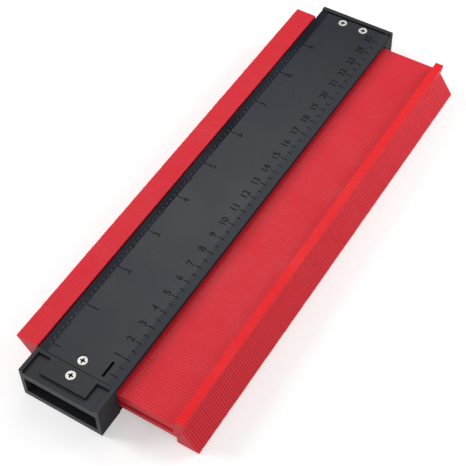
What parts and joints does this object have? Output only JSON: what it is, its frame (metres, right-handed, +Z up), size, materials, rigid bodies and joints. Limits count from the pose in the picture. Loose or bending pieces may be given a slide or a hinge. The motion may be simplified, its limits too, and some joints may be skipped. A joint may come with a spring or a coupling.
{
  "type": "contour gauge",
  "caption": "Contour gauge: thin barbed plastic leaves slide across a flat ruler frame to copy a profile, held by friction between a bevelled ruler plate and a lower frame with an end socket.",
  "frame": {"origin": "middle of the lower frame's flat underside", "axes": "+X along the ruler, away from the socket end; +Y across, to the inch scale; +Z up, out of the ruler's face"},
  "size_m": [0.281, 0.0981, 0.0199],
  "materials": {
    "frame_black": "satin moulded",
    "ruler_black": "satin moulded",
    "leaf_red": "semi-gloss moulded",
    "screw_zinc": "pale zinc plate",
    "friction_foam": "matt foam rubber"
  },
  "bodies": {
    "frame": {"lower_frame": "frame_black", "ruler_plate": "ruler_black", "end_bridge": "frame_black", "bridge_screw": "screw_zinc", "plate_screw": "screw_zinc", "end_screw_inch_side": "screw_zinc", "end_screw_cm_side": "screw_zinc", "upper_friction_strip": "friction_foam", "lower_friction_strip": "friction_foam"},
    "leaf_pack_01": {"leaf_pack_01": "leaf_red"},
    "leaf_pack_02": {"leaf_pack_02": "leaf_red"},
    "leaf_pack_03": {"leaf_pack_03": "leaf_red"},
    "leaf_pack_04": {"leaf_pack_04": "leaf_red"},
    "leaf_pack_05": {"leaf_pack_05": "leaf_red"},
    "leaf_pack_06": {"leaf_pack_06": "leaf_red"},
    "leaf_pack_07": {"leaf_pack_07": "leaf_red"},
    "leaf_pack_08": {"leaf_pack_08": "leaf_red"},
    "leaf_pack_09": {"leaf_pack_09": "leaf_red"},
    "leaf_pack_10": {"leaf_pack_10": "leaf_red"},
    "leaf_pack_11": {"leaf_pack_11": "leaf_red"},
    "leaf_pack_12": {"leaf_pack_12": "leaf_red"},
    "leaf_pack_13": {"leaf_pack_13": "leaf_red"},
    "leaf_pack_14": {"leaf_pack_14": "leaf_red"},
    "leaf_pack_15": {"leaf_pack_15": "leaf_red"},
    "leaf_pack_16": {"leaf_pack_16": "leaf_red"},
    "leaf_pack_17": {"leaf_pack_17": "leaf_red"},
    "leaf_pack_18": {"leaf_pack_18": "leaf_red"},
    "leaf_pack_19": {"leaf_pack_19": "leaf_red"},
    "leaf_pack_20": {"leaf_pack_20": "leaf_red"},
    "leaf_pack_21": {"leaf_pack_21": "leaf_red"},
    "leaf_pack_22": {"leaf_pack_22": "leaf_red"},
    "leaf_pack_23": {"leaf_pack_23": "leaf_red"},
    "leaf_pack_24": {"leaf_pack_24": "leaf_red"},
    "leaf_pack_25": {"leaf_pack_25": "leaf_red"},
    "leaf_pack_26": {"leaf_pack_26": "leaf_red"},
    "leaf_pack_27": {"leaf_pack_27": "leaf_red"},
    "leaf_pack_28": {"leaf_pack_28": "leaf_red"},
    "leaf_pack_29": {"leaf_pack_29": "leaf_red"},
    "leaf_pack_30": {"leaf_pack_30": "leaf_red"},
    "leaf_pack_31": {"leaf_pack_31": "leaf_red"},
    "leaf_pack_32": {"leaf_pack_32": "leaf_red"},
    "leaf_pack_33": {"leaf_pack_33": "leaf_red"},
    "leaf_pack_34": {"leaf_pack_34": "leaf_red"},
    "leaf_pack_35": {"leaf_pack_35": "leaf_red"},
    "leaf_pack_36": {"leaf_pack_36": "leaf_red"},
    "leaf_pack_37": {"leaf_pack_37": "leaf_red"},
    "leaf_pack_38": {"leaf_pack_38": "leaf_red"},
    "leaf_pack_39": {"leaf_pack_39": "leaf_red"},
    "leaf_pack_40": {"leaf_pack_40": "leaf_red"},
    "leaf_pack_41": {"leaf_pack_41": "leaf_red"},
    "leaf_pack_42": {"leaf_pack_42": "leaf_red"},
    "leaf_pack_43": {"leaf_pack_43": "leaf_red"}
  },
  "joints": [
    {"name": "leaf_pack_01_slide", "type": "slide", "parent": "frame", "child": "leaf_pack_01", "axis": [0, 1, 0], "range_m": [0, 0.0297]},
    {"name": "leaf_pack_02_slide", "type": "slide", "parent": "frame", "child": "leaf_pack_02", "axis": [0, 1, 0], "range_m": [0, 0.0297]},
    {"name": "leaf_pack_03_slide", "type": "slide", "parent": "frame", "child": "leaf_pack_03", "axis": [0, 1, 0], "range_m": [0, 0.0297]},
    {"name": "leaf_pack_04_slide", "type": "slide", "parent": "frame", "child": "leaf_pack_04", "axis": [0, 1, 0], "range_m": [0, 0.0297]},
    {"name": "leaf_pack_05_slide", "type": "slide", "parent": "frame", "child": "leaf_pack_05", "axis": [0, 1, 0], "range_m": [0, 0.0297]},
    {"name": "leaf_pack_06_slide", "type": "slide", "parent": "frame", "child": "leaf_pack_06", "axis": [0, 1, 0], "range_m": [0, 0.0297]},
    {"name": "leaf_pack_07_slide", "type": "slide", "parent": "frame", "child": "leaf_pack_07", "axis": [0, 1, 0], "range_m": [0, 0.0297]},
    {"name": "leaf_pack_08_slide", "type": "slide", "parent": "frame", "child": "leaf_pack_08", "axis": [0, 1, 0], "range_m": [0, 0.0297]},
    {"name": "leaf_pack_09_slide", "type": "slide", "parent": "frame", "child": "leaf_pack_09", "axis": [0, 1, 0], "range_m": [0, 0.0297]},
    {"name": "leaf_pack_10_slide", "type": "slide", "parent": "frame", "child": "leaf_pack_10", "axis": [0, 1, 0], "range_m": [0, 0.0297]},
    {"name": "leaf_pack_11_slide", "type": "slide", "parent": "frame", "child": "leaf_pack_11", "axis": [0, 1, 0], "range_m": [0, 0.0297]},
    {"name": "leaf_pack_12_slide", "type": "slide", "parent": "frame", "child": "leaf_pack_12", "axis": [0, 1, 0], "range_m": [0, 0.0297]},
    {"name": "leaf_pack_13_slide", "type": "slide", "parent": "frame", "child": "leaf_pack_13", "axis": [0, 1, 0], "range_m": [0, 0.0297]},
    {"name": "leaf_pack_14_slide", "type": "slide", "parent": "frame", "child": "leaf_pack_14", "axis": [0, 1, 0], "range_m": [0, 0.0297]},
    {"name": "leaf_pack_15_slide", "type": "slide", "parent": "frame", "child": "leaf_pack_15", "axis": [0, 1, 0], "range_m": [0, 0.0297]},
    {"name": "leaf_pack_16_slide", "type": "slide", "parent": "frame", "child": "leaf_pack_16", "axis": [0, 1, 0], "range_m": [0, 0.0297]},
    {"name": "leaf_pack_17_slide", "type": "slide", "parent": "frame", "child": "leaf_pack_17", "axis": [0, 1, 0], "range_m": [0, 0.0297]},
    {"name": "leaf_pack_18_slide", "type": "slide", "parent": "frame", "child": "leaf_pack_18", "axis": [0, 1, 0], "range_m": [0, 0.0297]},
    {"name": "leaf_pack_19_slide", "type": "slide", "parent": "frame", "child": "leaf_pack_19", "axis": [0, 1, 0], "range_m": [0, 0.0297]},
    {"name": "leaf_pack_20_slide", "type": "slide", "parent": "frame", "child": "leaf_pack_20", "axis": [0, 1, 0], "range_m": [0, 0.0297]},
    {"name": "leaf_pack_21_slide", "type": "slide", "parent": "frame", "child": "leaf_pack_21", "axis": [0, 1, 0], "range_m": [0, 0.0297]},
    {"name": "leaf_pack_22_slide", "type": "slide", "parent": "frame", "child": "leaf_pack_22", "axis": [0, 1, 0], "range_m": [0, 0.0297]},
    {"name": "leaf_pack_23_slide", "type": "slide", "parent": "frame", "child": "leaf_pack_23", "axis": [0, 1, 0], "range_m": [0, 0.0297]},
    {"name": "leaf_pack_24_slide", "type": "slide", "parent": "frame", "child": "leaf_pack_24", "axis": [0, 1, 0], "range_m": [0, 0.0297]},
    {"name": "leaf_pack_25_slide", "type": "slide", "parent": "frame", "child": "leaf_pack_25", "axis": [0, 1, 0], "range_m": [0, 0.0297]},
    {"name": "leaf_pack_26_slide", "type": "slide", "parent": "frame", "child": "leaf_pack_26", "axis": [0, 1, 0], "range_m": [0, 0.0297]},
    {"name": "leaf_pack_27_slide", "type": "slide", "parent": "frame", "child": "leaf_pack_27", "axis": [0, 1, 0], "range_m": [0, 0.0297]},
    {"name": "leaf_pack_28_slide", "type": "slide", "parent": "frame", "child": "leaf_pack_28", "axis": [0, 1, 0], "range_m": [0, 0.0297]},
    {"name": "leaf_pack_29_slide", "type": "slide", "parent": "frame", "child": "leaf_pack_29", "axis": [0, 1, 0], "range_m": [0, 0.0297]},
    {"name": "leaf_pack_30_slide", "type": "slide", "parent": "frame", "child": "leaf_pack_30", "axis": [0, 1, 0], "range_m": [0, 0.0297]},
    {"name": "leaf_pack_31_slide", "type": "slide", "parent": "frame", "child": "leaf_pack_31", "axis": [0, 1, 0], "range_m": [0, 0.0297]},
    {"name": "leaf_pack_32_slide", "type": "slide", "parent": "frame", "child": "leaf_pack_32", "axis": [0, 1, 0], "range_m": [0, 0.0297]},
    {"name": "leaf_pack_33_slide", "type": "slide", "parent": "frame", "child": "leaf_pack_33", "axis": [0, 1, 0], "range_m": [0, 0.0297]},
    {"name": "leaf_pack_34_slide", "type": "slide", "parent": "frame", "child": "leaf_pack_34", "axis": [0, 1, 0], "range_m": [0, 0.0297]},
    {"name": "leaf_pack_35_slide", "type": "slide", "parent": "frame", "child": "leaf_pack_35", "axis": [0, 1, 0], "range_m": [0, 0.0297]},
    {"name": "leaf_pack_36_slide", "type": "slide", "parent": "frame", "child": "leaf_pack_36", "axis": [0, 1, 0], "range_m": [0, 0.0297]},
    {"name": "leaf_pack_37_slide", "type": "slide", "parent": "frame", "child": "leaf_pack_37", "axis": [0, 1, 0], "range_m": [0, 0.0297]},
    {"name": "leaf_pack_38_slide", "type": "slide", "parent": "frame", "child": "leaf_pack_38", "axis": [0, 1, 0], "range_m": [0, 0.0297]},
    {"name": "leaf_pack_39_slide", "type": "slide", "parent": "frame", "child": "leaf_pack_39", "axis": [0, 1, 0], "range_m": [0, 0.0297]},
    {"name": "leaf_pack_40_slide", "type": "slide", "parent": "frame", "child": "leaf_pack_40", "axis": [0, 1, 0], "range_m": [0, 0.0297]},
    {"name": "leaf_pack_41_slide", "type": "slide", "parent": "frame", "child": "leaf_pack_41", "axis": [0, 1, 0], "range_m": [0, 0.0297]},
    {"name": "leaf_pack_42_slide", "type": "slide", "parent": "frame", "child": "leaf_pack_42", "axis": [0, 1, 0], "range_m": [0, 0.0297]},
    {"name": "leaf_pack_43_slide", "type": "slide", "parent": "frame", "child": "leaf_pack_43", "axis": [0, 1, 0], "range_m": [0, 0.0297]}
  ]
}
